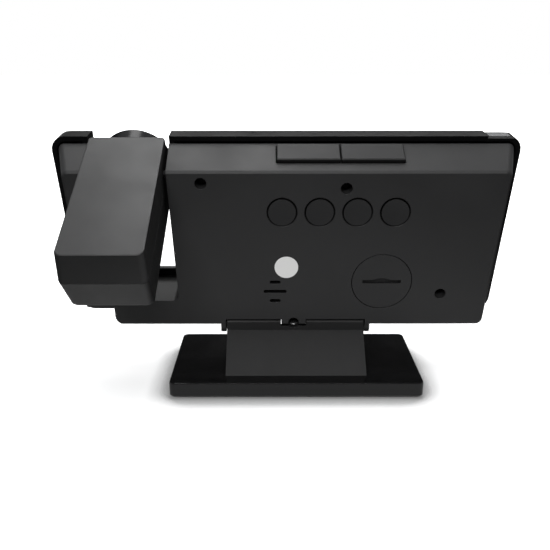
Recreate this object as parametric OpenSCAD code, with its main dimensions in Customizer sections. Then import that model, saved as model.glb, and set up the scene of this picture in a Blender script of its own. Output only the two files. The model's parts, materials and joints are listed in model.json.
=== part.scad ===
// Projection alarm clock: a slim mirror-fronted case on a small stand, with a projector arm that
// swings out of an open bay at one end.
//
// Object frame: origin at the centre of the base's underside, +Z up, the display faces -Y and the
// arm is on the +X side.
// Case frame (inside the module "on_case"): x as above, y points out of the back face, z runs up the
// back face. Depths n are measured forward from the back face, so y = -n.

/* [Case] */
// Width of the bezel across its top edge
case_top_w = 197; // [190:1:210]
// Width of the bezel across its bottom edge
case_bottom_w = 189.2; // [184:1:200]
// Height of the bezel
bezel_h = 82; // [80:1:90]
// Depth of the bezel
bezel_depth = 10; // [9:0.5:14]
// Depth of the rear housing
rear_depth = 17; // [16:0.5:22]
// Corner radius of the bezel
bezel_corner = 6; // [3:0.5:9]
// How far the bezel stands proud of the rear housing at the top and sides
rim = 3; // [1:0.25:4]
// How far the bezel stands proud of the rear housing at the bottom
rim_bottom = 1.2; // [0.4:0.2:2]
// How far each side of the rear housing draws in towards its back face
side_draw = 4.5; // [1:0.25:6]
// Wall of the rear housing
rear_wall = 2; // [1.6:0.1:2.4]
// Wall of the bezel
bezel_wall = 2.2; // [1.6:0.1:2.8]
// How far the case sits off the stand's centre, towards the arm
case_shift = 4.25; // [0:0.25:6]
// Backward lean of the case at rest, in degrees
case_lean = 8.4; // [4:0.2:10]

/* [Slanted top band] */
// Depth over which the top band slopes down to the back face
band_run = 15.7; // [14:0.1:15.8]
// Height that the band loses on the way
band_drop = 7; // [5:0.25:8]

/* [Arm bay] */
// Width of the bay at its top
bay_w = 33.8; // [33.4:0.1:34.6]
// Distance of the bay's centre line from the wide end of the bezel
bay_from_end = 32.65; // [31.5:0.05:34]
// How much wider the bay gets towards its floor, on the display's side
bay_draw = 2.2; // [0:0.1:3]
// Height of the bay's floor above the bottom of the rear housing
bay_floor = 12.2; // [11:0.1:12.2]
// Radius in the bay's lower corners
bay_corner = 2.6; // [1:0.2:3]
// Height of the stop lip along the bay's front
bay_lip_h = 3.9; // [2:0.1:5]
// Thickness of the stop lip
bay_lip_t = 2.4; // [1.8:0.1:2.4]
// Where the bottom bar ends, measured from the bay's far side
notch_run = 7.2; // [4:0.2:9]
// Height of the finger notch beside the bottom bar
notch_h = 9; // [7:0.5:9.5]

/* [Display] */
// Thickness of the mirror lens
lens_t = 1.8; // [1.2:0.1:2.2]
// Rim of bezel around the mirror lens
lens_rim = 3.2; // [2.5:0.1:5]
// Height of one digit
digit_h = 34; // [28:1:38]
// Width of one digit
digit_w = 19; // [15:1:21]
// Stroke of a digit's segment
digit_stroke = 3.6; // [2.5:0.1:4.5]
// Length of the light sensor's window
sensor_w = 11.1; // [6:0.1:13]

/* [Keys] */
// Diameter of a round key
key_d = 11.4; // [9:0.1:12.5]
// Distance between the centres of the round keys
key_pitch = 15.53; // [15.1:0.01:17]
// Height of the round keys above the bottom of the rear housing
key_z = 53.6; // [51:0.1:54]
// Travel of every key
key_travel = 0.8; // [0.4:0.1:1]
// Gap around every key
key_gap = 0.35; // [0.25:0.05:0.5]
// Length of the projection key
projection_key_w = 25.9; // [20:0.1:28]
// Length of the snooze key
snooze_key_w = 25.9; // [20:0.1:30]
// Width of the two long keys along the slope
top_key_d = 9.7; // [8:0.1:10.5]
// How far the long keys stand above the band
top_key_h = 1.8; // [1:0.1:2.5]

/* [Battery and speaker] */
// Diameter of the battery cover
cover_d = 25.6; // [24.5:0.1:26.5]
// Thickness of the battery cover
cover_t = 2.4; // [2:0.1:2.8]
// Diameter of the coin cell
cell_d = 20; // [19.5:0.1:20.2]
// Thickness of the coin cell
cell_t = 3.2; // [2.5:0.1:3.4]
// Diameter of the speaker
speaker_d = 20; // [16:0.5:21]
// Depth of the speaker
speaker_t = 4.5; // [3:0.1:6]

/* [Arm] */
// Length of the arm
arm_l = 70.8; // [64:0.2:70.8]
// Width of the arm across its back face
arm_w = 31.5; // [30:0.1:31.8]
// Thickness of the back shell, down to the seam
arm_back_t = 11.5; // [11.2:0.1:11.5]
// Thickness of the front shell
arm_front_t = 16.7; // [15:0.1:16.7]
// Wall of the arm's shells
arm_wall = 1.8; // [1.4:0.1:2.2]
// How far the tip draws in towards the back face, measured from the seam
arm_tip_slant = 3.1; // [2:0.1:4.5]
// How far the tip draws in towards the front face, so that it clears the bay's floor as it swings
arm_tip_taper = 3.8; // [3.8:0.1:5]
// Corner radius at the arm's tip
arm_corner = 2.6; // [1.5:0.1:4]
// Depth of the pivot behind the case's back face
pivot_n = 3.6; // [3.6:0.1:3.9]
// Height of the pivot above the bottom of the rear housing
pivot_z = 68.6; // [68.6:0.1:69.2]
// Distance of the pivot from the arm's lens end
pivot_a = 14.9; // [14.9:0.1:16]
// Distance of the pivot from the arm's back face
pivot_b = 7.5; // [7.5:0.1:7.8]
// Diameter of the pivot pins
pivot_d = 3.5; // [2.5:0.1:3.6]
// Swing of the arm at rest, measured from folded, in degrees
arm_swing = 69.4; // [0:0.1:110]

/* [Projector] */
// Outside diameter of the focus ring
ring_d = 29.8; // [26:0.2:30]
// Distance of the lens axis from the arm's back face
optic_depth = 15; // [14.2:0.1:15.2]
// How far the lens axis sits off the arm's centre line, towards the display
optic_shift = 1.5; // [0:0.1:1.6]
// How far the focus ring stands out of the arm
ring_h = 6.5; // [5:0.1:8]
// Outside diameter of the lens barrel
barrel_d = 18.6; // [16:0.1:20]
// Wall of the lens barrel
barrel_wall = 1.2; // [0.8:0.1:1.6]

/* [Stand] */
// Width of the base
base_w = 108.4; // [100:0.2:130]
// Depth of the base
base_d = 53; // [48:0.5:70]
// Thickness of the base plate
base_h = 6.4; // [4.8:0.1:7]
// Corner radius of the base
base_corner = 2.6; // [1:0.2:8]
// Thickness of the anti-slip pad
pad_h = 1.2; // [0.6:0.1:1.6]
// How far the pad stays inside the base's edge
pad_inset = 5; // [4:0.5:8]
// Width of the neck
neck_w = 61; // [56:0.5:64]
// Wall of the neck
neck_wall = 2.2; // [1.6:0.1:3]
// Height of the tilt hinge above the table
hinge_z = 23.9; // [22.5:0.1:26]
// Diameter of the tilt hinge's barrel
hinge_d = 7.8; // [7:0.1:8]
// Diameter of the tilt hinge's pins
hinge_pin_d = 3; // [2:0.1:4]

/* [Fits] */
// Radial running clearance of a pin in its bore
run_fit = 0.05; // [0.02:0.01:0.1]
// Gap between pieces that pass or move beside each other
part_gap = 0.3; // [0.2:0.05:0.5]
// Radius of the softened outer edges
edge = 0.6; // [0.2:0.1:1]

/* [Hidden] */

$fn = 64;
eps = 0.01;
// Straight runs in which a rounded outline corner is drawn
corner_steps = 6;
// Cutting length that is longer than anything it passes through
far = 60;

// Colours of the finishes
matte_black = [0.13, 0.13, 0.14];
gloss_black = [0.04, 0.04, 0.05];
key_black = [0.1, 0.1, 0.11];
rubber_black = [0.08, 0.08, 0.08];
steel = [0.75, 0.76, 0.78];
board_green = [0.08, 0.3, 0.16];
mirror_grey = [0.5, 0.52, 0.55];
white_plastic = [0.9, 0.9, 0.88];
clear_grey = [0.7, 0.72, 0.75];
glass_blue = [0.75, 0.85, 0.9];
film_blue = [0.1, 0.25, 0.6];

// Heights in the case frame
rear_h = bezel_h - rim - rim_bottom;
back_h = rear_h - band_drop;
front_n = rear_depth + bezel_depth;
band_angle = atan2(band_drop, band_run);
band_l = norm([band_run, band_drop]);

// Sides of the bay
bay_x = case_shift + case_top_w / 2 - bay_from_end;
bay_x0 = bay_x - bay_w / 2;
bay_x1 = bay_x + bay_w / 2;
lip_n = front_n - bay_lip_t;
notch_x = bay_x1 - notch_run;
notch_corner = 4.4;

// Tilt hinge: its place in the case frame and in the object frame
hinge_n = 4;
hinge_u = -1.5;
hinge_y = -0.54;
hinge_bore = hinge_pin_d + 2 * run_fit;
neck_gap = 0.45;
ear_w = 2.2;
ear_r = 3.7;
ear_x0 = neck_w / 2 + neck_gap;
hinge_pin_l = 12;
pocket_top = hinge_u + hinge_d / 2 + 0.4;
pocket_depth = hinge_n + hinge_d / 2 + 1.1;
// Bottom screw, and the block of the housing that carries it between the neck's two barrels
low_screw = [0.8, 1.15];
block_x0 = low_screw[0] - 5.4;
block_x1 = low_screw[0] + 5.3;
block_low = -2.6;
block_n = 2.2;

// Rear screws, as x and height in the case frame
screw_places = [[39.1, 66.0], [-19.9, 63.9], [-62.9, 15.7], low_screw];
well_d = 4.8;
well_depth = 8;
boss_d = 8.8;
screw_head_d = 4.2;
screw_head_h = 1.6;
screw_d = 2.2;
screw_l = 12.4;
post_d = 6;

// Board inside the bezel
board_t = 1.6;
board_n = rear_depth + 1;
board_x0 = -80;
board_x1 = 46;
board_z0 = 7;
board_z1 = 74;
board_post_d = 5.2;
board_screw_d = 1.6;
board_screws_at = [[-75, 68.5], [-75, 13], [43, 12]];
ledge_n = front_n - 0.2 - lens_t;
window_t = 1.6;
window_n = ledge_n - window_t;
chip_t = 1.6;
// Chips as x, height, width along x and height of the chip
chips = [[board_x1 - 54, board_z0 + 27, 14, 8], [board_x1 - 32, board_z0 + 28, 8, 3],
         [board_x0 + 20, board_z0 + 41, 8, 8]];
digit_gap = 5.5;
panel_margin = 4;
digit_centre = [-17, 39.5];
colon_w = 9;
panel_w = 4 * digit_w + 2 * digit_gap + colon_w + 2 * panel_margin;
panel_h = digit_h + 2 * panel_margin;
panel_gap = 0.4;

// Keys
key_r = key_d / 2;
first_key_x = 6.2;
key_names = ["mode_key", "up_key", "down_key", "alarm_key"];
key_proud = 0.4;
key_flange = 1.3;
key_flange_t = 1;
stem_r = 2;
switch_rest = key_travel + 0.3;
stem_end = 5.6;
plunger_n = stem_end + switch_rest;
switch_body = 3.3;
key_board_n = plunger_n + 0.5 + switch_body;
key_board_t = 1.4;
key_board_side = 8;
key_board_low = 8.6;
key_board_high = 5.6;
top_key_y0 = 1.7;
top_key_x1 = 8.4;
top_flange_z = -rear_wall - 0.3;
top_stem_end = -6;
top_plunger = top_stem_end - switch_rest;
top_board_z = top_plunger - 0.5 - switch_body;
plunger_r = 1.6;
snooze_x1 = top_key_x1 - projection_key_w - part_gap;
// The two long keys' switches: the x of each, and the side to which its board runs on
top_switches = [[top_key_x1 - projection_key_w / 2, 1], [snooze_x1 - snooze_key_w / 2, -1]];
top_board_w = 16;
top_board_off = 2.2;
top_board_y0 = 3.6;
top_board_y1 = 12.6;
rib_t = 1.4;
rib_reach = 5.6;

// Battery compartment
cell_x = -37;
cell_z = 21.5;
cover_gap = 0.3;
cover_r = cover_d / 2 + cover_gap;
cell_r = cell_d / 2 + part_gap;
ledge_depth = cover_t + 0.2;
cell_n0 = ledge_depth + 0.2;
cell_n1 = cell_n0 + cell_t;
contact_t = 0.5;
cup_depth = cell_n1 + contact_t + 0.5;
cup_wall = 1.6;
leaf_gap = 0.1;
clip_r = cell_r + 0.7;
lug_groove_r0 = cell_r + 0.7;
lug_groove_r1 = cover_r - 0.2;
lug_h = 1.2;
coin_slot_l = 16.5;
coin_slot_w = 1.6;
coin_slot_depth = 1.3;

// Speaker and the slots in front of it
speaker_x = 9;
speaker_z = 16.8;
slot_pitch = 4.55;
slot_h = 1.5;
slot_lengths = [4.7, 10, 4.7];

// Side vents
vent_count = 6;
vent_pitch = 4.2;
vent_h = 2.2;
vent_z0 = 26.2;
vent_n0 = 1.2;
vent_n1 = 12;

// Power socket in the bottom wall
jack_x = -73;
jack_n = 9;
jack_d = 3.6;
jack_w = 7;
jack_l = 10;

// Arm, in its folded pose in the case frame
arm_flare = 0.4;
arm_front_taper = 0.4;
arm_end_corner = 1.2;
inner_corner = max(arm_corner - arm_wall, 0.8);
arm_z1 = pivot_z + pivot_a;
arm_z0 = arm_z1 - arm_l;
arm_n0 = pivot_n - pivot_b;
seam_n = arm_n0 + arm_back_t;
arm_n1 = seam_n + arm_front_t;
seam_gap = 0.25;
pin_out = 5;
pin_in = 4.4;
arm_boss_d = 7;
pivot_boss_d = 7.6;
optic_n = arm_n0 + optic_depth;
optic_x = bay_x - optic_shift;
barrel_r = barrel_d / 2;
barrel_low = 34;
nose_h = 3.4;
ring_bore = barrel_r + run_fit;
cell_bore_r = barrel_r - barrel_wall;
cell_run = 0.1;
cell_len = 7;
cell_top = arm_z1 + nose_h - 1.2;
glass_r = 6.9;
lamp_h = 5;
arm_screw_x = arm_w / 2 - arm_wall - 4.35;
arm_screw_up = 7.5;
arm_screw_places = [for (s = [-1, 1]) [bay_x + s * arm_screw_x, arm_z0 + arm_screw_up]];
arm_screw_seat = 4;
arm_screw_grip = 6;
arm_screw_d = 2;
projector_board_w = arm_w - 2 * arm_wall - 4.3;

// Stand, in the object frame
base_top = pad_h + base_h;
base_edge = 0.7;
base_wall = 2.2;
neck_back_y = 19.7;
neck_front_y = -13.5;
neck_strip_t = 1.7;
neck_strip_u = 1.2;
neck_fold_u = -2.8;
neck_notch_u = -0.6;
neck_screws_at = [[-22, 12.5], [22, 12.5], [-22, -6.5], [22, -6.5]];
neck_boss_d = 5.4;
neck_boss_h = 4;
neck_screw_l = 7.4;

// ---------------------------------------------------------------- helpers

function unit(v) = v / norm(v);

// Points of one rounded corner at p, between its neighbours a and b
function corner(p, a, b, r) =
  let (u = unit(a - p), v = unit(b - p), half = acos(u * v) / 2,
       c = p + unit(u + v) * r / sin(half),
       s = p + u * r / tan(half) - c, e = p + v * r / tan(half) - c,
       a0 = atan2(s[1], s[0]), turn = atan2(e[1], e[0]) - a0,
       sweep = turn > 180 ? turn - 360 : turn < -180 ? turn + 360 : turn)
  [for (i = [0:corner_steps]) c + r * [cos(a0 + sweep * i / corner_steps),
                                       sin(a0 + sweep * i / corner_steps)]];

// Outline through pts with each corner rounded to its own radius
function rounded(pts, radii) =
  [for (i = [0:len(pts) - 1])
    each corner(pts[i], pts[(i + len(pts) - 1) % len(pts)], pts[(i + 1) % len(pts)], radii[i])];

function box_points(x0, z0, x1, z1) = [[x0, z0], [x1, z0], [x1, z1], [x0, z1]];

// Half width of the case at height z
function case_half(z) =
  (case_bottom_w + (case_top_w - case_bottom_w) * (z + rim_bottom) / bezel_h) / 2;

// The case's trapezoid between two heights, drawn in by inset at the sides
function case_points(z0, z1, inset) =
  let (b = case_half(z0) - inset, t = case_half(z1) - inset)
  [[case_shift - b, z0], [case_shift + b, z0], [case_shift + t, z1], [case_shift - t, z1]];

// Inset of the rear housing's sides at depth n
function side_inset(n) = rim + side_draw * (1 - n / rear_depth);
// Height of the rear housing at depth n
function top_at(n) = n < band_run ? back_h + band_drop * n / band_run : rear_h;

// Extrudes a flat shape forward from depth n, in the case frame
module slab(n, depth) { translate([0, -n, 0]) rotate([90, 0, 0]) linear_extrude(depth) children(); }

// Extrudes a (y, z) profile along X
module along_x(x, l) { translate([x, 0, 0]) rotate([90, 0, 90]) linear_extrude(l) children(); }

// Cylinder that runs forward from depth n, in the case frame
module peg(x, z, n, d, l) { translate([x, -n, z]) rotate([90, 0, 0]) cylinder(d = d, h = l); }

// Box between two depths, in the case frame
module block(x0, x1, n0, n1, z0, z1) { translate([x0, -n1, z0]) cube([x1 - x0, n1 - n0, z1 - z0]); }

// Thin slice of the rear housing's form at depth n, drawn in all round by extra
module rear_slice(n, extra, r) {
  slab(n, eps)
    polygon(rounded(case_points(extra, top_at(n) - extra, side_inset(n) + extra), [r, r, r, r]));
}

// Place of the bay's wall on the display's side at height z
function bay_side(z) = bay_x0 - bay_draw * (rear_h + rim - z) / (rear_h + rim - bay_floor);

// The bay seen from behind, down to the height low and larger by grow, with rounded lower corners
module bay_shape(grow, low) {
  r = bay_corner + grow;
  z0 = low - grow;
  z1 = rear_h + far;
  x1 = bay_x1 + grow;
  polygon(rounded([[bay_side(z0) - grow, z0], [x1, z0], [x1, z1], [bay_side(z1) - grow, z1]], [r, r, 1, 1]));
}

// Places the case on its hinge at its resting lean
module on_case() {
  translate([0, hinge_y, hinge_z]) rotate([-case_lean, 0, 0]) translate([0, hinge_n, -hinge_u])
    children();
}

// Top band's own frame: y runs down the slope, z points out of it
module on_band() { translate([0, -band_run, rear_h]) rotate([-band_angle, 0, 0]) children(); }

// Swings the arm out about its pivot
module on_arm() {
  on_case() translate([0, -pivot_n, pivot_z]) rotate([arm_swing, 0, 0])
    translate([0, pivot_n, -pivot_z]) children();
}

// Turns a shape so that its z axis runs along the lens axis, with z measured up the folded arm
module on_lens_axis() { on_arm() translate([optic_x, -optic_n, 0]) children(); }

// Ring about the lens axis between two heights
module tube(r0, r1, z0, z1) {
  rotate_extrude() translate([r0, z0]) square([r1 - r0, z1 - z0]);
}

// Pan-head screw that drives forward from depth n
module pan_screw(x, z, n, head_d, head_h, d, l) {
  difference() {
    union() {
      peg(x, z, n, head_d, head_h);
      peg(x, z, n + head_h - eps, d, l + eps);
    }
    block(x - head_d, x + head_d, n - 1, n + head_h * 0.45, z - 0.3, z + 0.3);
    block(x - 0.3, x + 0.3, n - 1, n + head_h * 0.45, z - head_d, z + head_d);
  }
}

// ---------------------------------------------------------------- stand

module base_outline(inset) {
  w = base_w / 2 - inset;
  d = base_d / 2 - inset;
  r = base_corner;
  polygon(rounded(box_points(-w, -d, w, d), [r, r, r, r]));
}

module base_plate() {
  color(gloss_black) difference() {
    hull() {
      translate([0, 0, pad_h]) linear_extrude(eps) base_outline(0.4);
      translate([0, 0, pad_h + 0.4]) linear_extrude(eps) base_outline(0);
      translate([0, 0, base_top - base_edge]) linear_extrude(eps) base_outline(0);
      translate([0, 0, base_top - base_edge * 0.3]) linear_extrude(eps) base_outline(base_edge * 0.3);
      translate([0, 0, base_top - eps]) linear_extrude(eps) base_outline(base_edge);
    }
    // Wells for the neck's screws, closed from below by the pad
    for (p = neck_screws_at) translate([p[0], p[1], 0]) {
      translate([0, 0, -1]) cylinder(d = 5, h = pad_h + 1 + 2.6);
      cylinder(d = 2.6, h = base_top + 1);
    }
  }
}

module base_pad() {
  w = base_w / 2 - pad_inset;
  d = base_d / 2 - pad_inset;
  r = base_corner;
  color(rubber_black) linear_extrude(pad_h) polygon(rounded(box_points(-w, -d, w, d), [r, r, r, r]));
}

// Point of the object frame, as (y, z), that lies at depth n and height u of the case at rest
function case_point(n, u) =
  let (y = hinge_n - n, z = u - hinge_u)
  [hinge_y + y * cos(case_lean) + z * sin(case_lean),
   hinge_z - y * sin(case_lean) + z * cos(case_lean)];

function neck_sides(wall) =
  let (lean = [cos(case_lean), -sin(case_lean)], drop = wall / sin(41.8))
  [[neck_back_y - drop, base_top], case_point(wall, neck_fold_u - wall * 0.4),
   case_point(wall, neck_strip_u - wall), [hinge_y - hinge_d / 2 + wall, hinge_z],
   [neck_front_y + drop, base_top]];

module neck_solid() {
  along_x(-neck_w / 2, neck_w) union() {
    polygon(neck_sides(0));
    translate([hinge_y, hinge_z]) circle(d = hinge_d);
  }
}

module stand_neck() {
  gap = part_gap;
  color(matte_black) difference() {
    union() {
      difference() {
        neck_solid();
        // Hollow underside; the barrel stays solid
        difference() {
          along_x(-neck_w / 2 + neck_wall, neck_w - 2 * neck_wall)
            polygon(neck_sides(neck_wall));
          along_x(-far, 2 * far) translate([hinge_y, hinge_z]) circle(d = hinge_d);
        }
        along_x(-neck_w / 2 + neck_wall, neck_w - 2 * neck_wall)
          translate([neck_front_y + 4, base_top - 1]) square([neck_back_y - neck_front_y - 8, 1 + eps]);
      }
      // Screw bosses that stand on the base
      for (p = neck_screws_at) translate([p[0], p[1], base_top])
        cylinder(d = neck_boss_d, h = neck_boss_h);
    }
    // Window between the two barrels for the housing's screw block
    along_x(block_x0 - gap, block_x1 - block_x0 + 2 * gap)
      polygon([case_point(neck_strip_t, -7.6), case_point(neck_strip_t, neck_strip_u + 4),
               case_point(22, neck_strip_u + 4), case_point(22, -7.6)]);
    // Notch in the rear strip under the bottom screw
    along_x(block_x0 - gap, block_x1 - block_x0 + 2 * gap)
      polygon([case_point(-1, neck_notch_u), case_point(-1, neck_strip_u + 4),
               case_point(neck_strip_t + 1, neck_strip_u + 4), case_point(neck_strip_t + 1, neck_notch_u)]);
    on_case() peg(low_screw[0], low_screw[1], -2, well_d + 0.6, neck_strip_t + 3);
    // Bores for the hinge pins
    for (s = [-1, 1]) translate([s > 0 ? neck_w / 2 - hinge_pin_l : -neck_w / 2 - 1, hinge_y, hinge_z])
      rotate([0, 90, 0]) cylinder(d = hinge_bore, h = hinge_pin_l + 1);
    // Pilot holes for the neck's screws
    for (p = neck_screws_at) translate([p[0], p[1], base_top - 1]) cylinder(d = 2, h = neck_boss_h);
  }
}

module neck_screws() {
  color(steel) for (p = neck_screws_at) translate([p[0], p[1], pad_h + 1]) {
    cylinder(d = 4.4, h = 1.6);
    cylinder(d = 2, h = neck_screw_l);
  }
}

// ---------------------------------------------------------------- rear housing

module rear_form() {
  hull() {
    rear_slice(0, edge, bay_corner);
    rear_slice(edge, edge * 0.3, bay_corner);
    rear_slice(edge * 2, 0, bay_corner);
    rear_slice(band_run, 0, bay_corner);
    rear_slice(rear_depth - eps, 0, bay_corner);
  }
}

module rear_hollow() {
  hull() {
    rear_slice(rear_wall, rear_wall, 1);
    rear_slice(band_run, rear_wall, 1);
    rear_slice(rear_depth + 1, rear_wall, 1);
  }
}

module finger_notch(grow) {
  c = notch_corner;
  slab(-1, rear_depth + 1 + eps)
    polygon(concat([[notch_x - c - grow, -5], [notch_x - c - grow, 0]],
      [for (i = [0:corner_steps]) let (a = -90 + 90 * i / corner_steps)
        [notch_x - c - grow + c * cos(a), c + c * sin(a)]],
      [[notch_x - grow, notch_h + grow], [far * 3, notch_h + grow], [far * 3, -5]]));
}

module hinge_pocket(grow) {
  // Room for the neck's barrels on both sides of the screw block
  block(-ear_x0 - grow, block_x0 + grow, -1, pocket_depth + grow, -far, pocket_top + grow);
  block(block_x1 - grow, ear_x0 + grow, -1, pocket_depth + grow, -far, pocket_top + grow);
}

module ears() {
  for (s = [-1, 1]) along_x(s > 0 ? ear_x0 : -ear_x0 - ear_w, ear_w) union() {
    translate([-hinge_n, hinge_u]) circle(r = ear_r);
    translate([-hinge_n - ear_r, hinge_u]) square([2 * ear_r, 1 - hinge_u]);
  }
}

module screw_boss(p) { peg(p[0], p[1], rear_wall - eps, boss_d, rear_depth - rear_wall - part_gap); }

module battery_cup() { peg(cell_x, cell_z, eps, 2 * (cover_r + cup_wall), cup_depth + cup_wall); }

module battery_hollow() {
  peg(cell_x, cell_z, -1, 2 * cover_r, 1 + ledge_depth);
  peg(cell_x, cell_z, 0, 2 * cell_r, cup_depth);
  translate([cell_x, 0, cell_z]) rotate([90, 0, 0])
    tube(lug_groove_r0, lug_groove_r1, ledge_depth - eps, ledge_depth + lug_h + 0.3);
  // Recess for the contact clip
  block(cell_x - 1.7, cell_x + 1.7, ledge_depth, cup_depth, cell_z, cell_z + clip_r);
}

module sound_slot(z, l) {
  slab(-1, rear_wall + 2) union() {
    translate([speaker_x - l / 2 + slot_h / 2, z - slot_h / 2]) square([l - slot_h, slot_h]);
    for (s = [-1, 1]) translate([speaker_x + s * (l - slot_h) / 2, z]) circle(d = slot_h, $fn = 24);
  }
}

module top_key_hole() {
  w = projection_key_w + snooze_key_w + part_gap + 2 * key_gap;
  on_band() translate([top_key_x1 + key_gap - w, top_key_y0 - key_gap, -rear_wall - 1])
    cube([w, top_key_d + 2 * key_gap, rear_wall + 2]);
}

// Point of the case frame, as (y, z), for a place on the band: down the slope and out of it
function band_point(down, out) =
  [-band_run + down * cos(band_angle) + out * sin(band_angle),
   rear_h - down * sin(band_angle) + out * cos(band_angle)];

// Rib from the back wall that carries the lower edge of a long key's board
module board_rib(x) {
  under = top_board_z - key_board_t;
  low = band_point(top_board_y1, under);
  along_x(x, rib_t)
    polygon([[-rear_wall, low[1] - 0.1], [-rear_wall - 2, low[1] - 0.1], low - [-2.6, 2.1], low - [0.3, 2.1],
             band_point(top_board_y1 - 4.4, under - 1.6), band_point(top_board_y1 - 4.4, under), low,
             band_point(top_board_y1, under + 2.4), [-rear_wall, low[1] + 4.6]]);
}

module rear_housing() {
  color(matte_black) difference() {
    union() {
      difference() {
        rear_form();
        difference() {
          rear_hollow();
          slab(-1, rear_depth + 3) bay_shape(rear_wall, bay_floor);
          finger_notch(rear_wall);
          hinge_pocket(1.6);
          block(block_x0, block_x1, -1, pocket_depth + 6, -far, pocket_top + 3);
        }
      }
      // Bosses and rims that stand inside
      intersection() {
        rear_form();
        union() {
          for (p = screw_places) screw_boss(p);
          battery_cup();
          for (x = [bay_x0 - pin_out - 1, bay_x1])
            translate([x, -pivot_n, pivot_z]) rotate([0, 90, 0])
              cylinder(d = pivot_boss_d, h = pin_out + 1);
          peg(speaker_x, speaker_z, rear_wall - eps, speaker_d + 3.4, speaker_t);
          for (x = [first_key_x - key_pitch / 2, first_key_x - 2.5 * key_pitch])
            peg(x, key_z - 5.8, rear_wall - eps, 4, key_board_n - rear_wall);
          for (k = top_switches, s = [-1, 1])
            board_rib(k[0] + k[1] * top_board_off + s * rib_reach - rib_t / 2);
          block(jack_x - jack_w / 2 - 1.4, jack_x + jack_w / 2 + 1.4, jack_n - 5, jack_n + 5, 0.5, 4);
        }
      }
      // Block of the bottom screw, below the housing's bottom wall
      block(block_x0, block_x1, block_n, pocket_depth + 5, block_low, 1);
      ears();
    }
    slab(-1, rear_depth + 3) bay_shape(0, bay_floor);
    finger_notch(0);
    hinge_pocket(0);
    // Screw wells and their through holes
    for (p = screw_places) {
      peg(p[0], p[1], -1, well_d, well_depth + 1);
      peg(p[0], p[1], 0, screw_d + 0.4, rear_depth + 1);
    }
    // Arm pivot bores
    for (x = [bay_x0 - pin_out - eps, bay_x1 - 1])
      translate([x, -pivot_n, pivot_z]) rotate([0, 90, 0])
        cylinder(d = pivot_d + 2 * run_fit, h = pin_out + 1 + eps);
    battery_hollow();
    // Speaker seat and sound slots
    peg(speaker_x, speaker_z, rear_wall, speaker_d, far);
    for (i = [0:2]) sound_slot(speaker_z + slot_pitch * (1 - i), slot_lengths[i]);
    // Round key holes, softened at the mouth
    for (i = [0:3]) {
      peg(first_key_x - i * key_pitch, key_z, -1, key_d + 2 * key_gap, rear_wall + 2);
      translate([first_key_x - i * key_pitch, eps, key_z]) rotate([90, 0, 0])
        cylinder(d1 = key_d + 2 * key_gap + 0.8, d2 = key_d + 2 * key_gap, h = 0.4);
    }
    top_key_hole();
    // Side vents
    for (i = [0:vent_count - 1])
      block(-far * 2, case_shift - case_half(0) + rim + side_draw + rear_wall + 1,
            vent_n0, vent_n1, vent_z0 + i * vent_pitch - vent_h / 2, vent_z0 + i * vent_pitch + vent_h / 2);
    // Ear bores, a press fit on the hinge pins
    translate([-ear_x0 - ear_w - 1, -hinge_n, hinge_u]) rotate([0, 90, 0])
      cylinder(d = hinge_pin_d, h = 2 * (ear_x0 + ear_w + 1));
    // Power socket
    translate([jack_x, -jack_n, -1]) cylinder(d = jack_d + 2, h = 3);
    block(jack_x - jack_w / 2, jack_x + jack_w / 2, jack_n - 3.6, jack_n + 3.6, rear_wall, far);
  }
}

module rear_screws() {
  color(steel) for (p = screw_places)
    pan_screw(p[0], p[1], well_depth - screw_head_h, screw_head_d, screw_head_h, screw_d, screw_l);
}

module hinge_pins() {
  color(steel) for (s = [-1, 1])
    translate([s > 0 ? ear_x0 + ear_w - 0.5 - hinge_pin_l : -ear_x0 - ear_w + 0.5, -hinge_n, hinge_u])
      rotate([0, 90, 0]) cylinder(d = hinge_pin_d, h = hinge_pin_l);
}

// ---------------------------------------------------------------- front

module lens_shape(inset) {
  z0 = lens_rim - rim_bottom + inset;
  z1 = rear_h + rim - lens_rim - inset;
  pts = case_points(z0, z1, lens_rim + inset);
  back = lens_rim + inset;
  r = max(bezel_corner - lens_rim, 1);
  polygon(rounded([pts[0], [bay_side(z0) - back, z0], [bay_side(z1) - back, z1], pts[3]], [r, r, r, r]));
}

module bezel_form() {
  r = bezel_corner;
  z0 = -rim_bottom;
  z1 = rear_h + rim;
  steps = [[rear_depth, 0], [front_n - 1.2, 0], [front_n - 0.4, 0.3], [front_n - eps, 1]];
  hull() for (s = steps)
    slab(s[0], eps) polygon(rounded(case_points(z0 + s[1], z1 - s[1], s[1]), [r, r, r, r]));
}

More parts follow.
